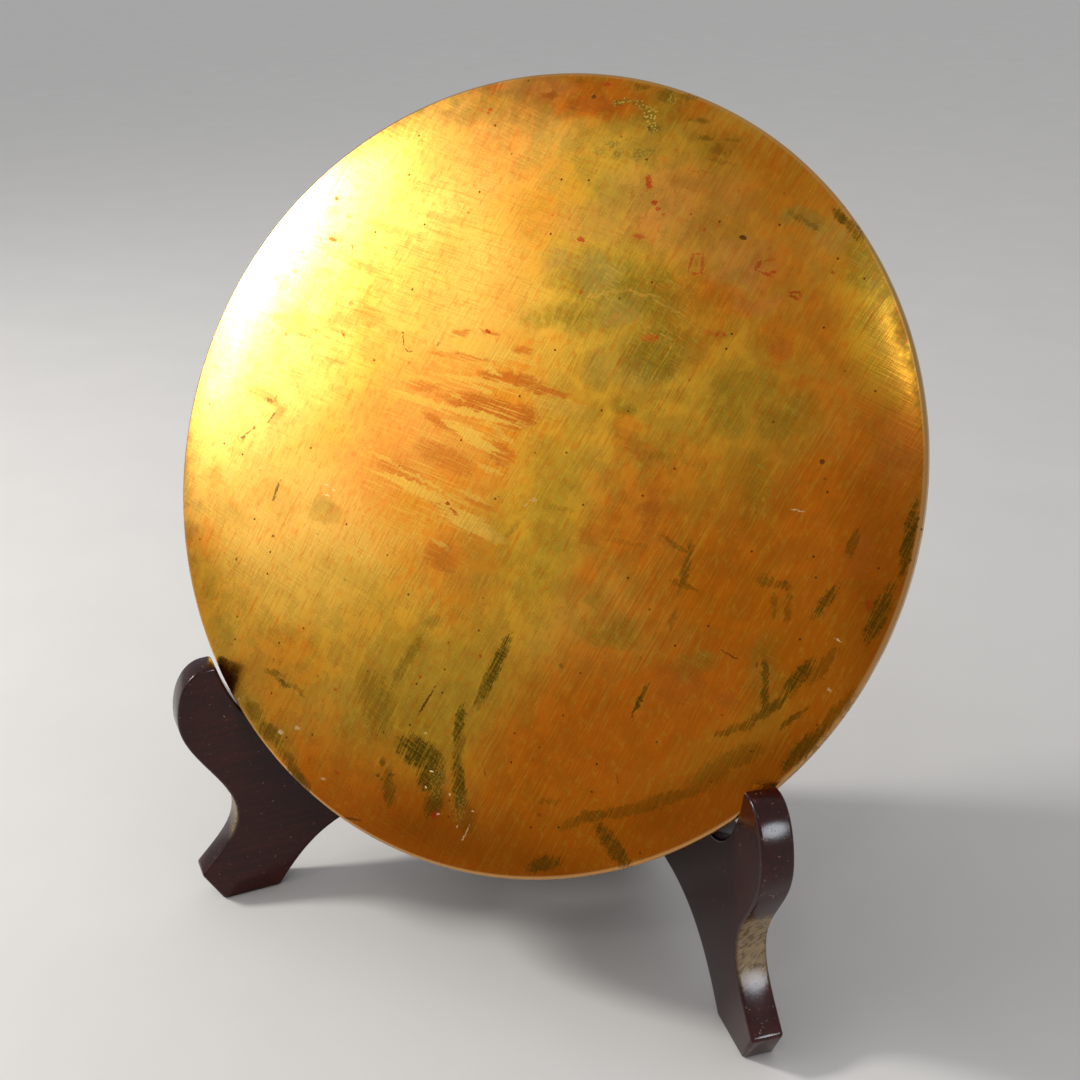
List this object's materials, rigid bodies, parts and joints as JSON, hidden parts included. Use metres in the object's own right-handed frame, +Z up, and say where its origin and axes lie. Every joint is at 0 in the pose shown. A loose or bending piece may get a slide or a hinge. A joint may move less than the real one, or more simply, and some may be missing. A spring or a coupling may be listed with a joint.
{
  "type": "bronze mirror on wooden stand",
  "caption": "Round bronze mirror with a gently domed face and a pierced knob on its back, leaning in a V-shaped wooden plate stand.",
  "frame": {"origin": "centre of the bounding box's bottom face, on the table under the stand's feet", "axes": "+Z up, -Y the way the mirror faces, +Y towards the corner where the stand's boards meet, +X to the right for someone who faces the mirror"},
  "size_m": [0.2, 0.0988, 0.2155],
  "materials": {
    "bronze": "polished golden bronze, scratched, with olive and orange patina",
    "lacquered_wood": "dark red-brown gloss lacquer, worn at the edges"
  },
  "bodies": {
    "root": {"bronze_mirror": "bronze", "stand_left_board": "lacquered_wood", "stand_right_board": "lacquered_wood"}
  },
  "joints": []
}
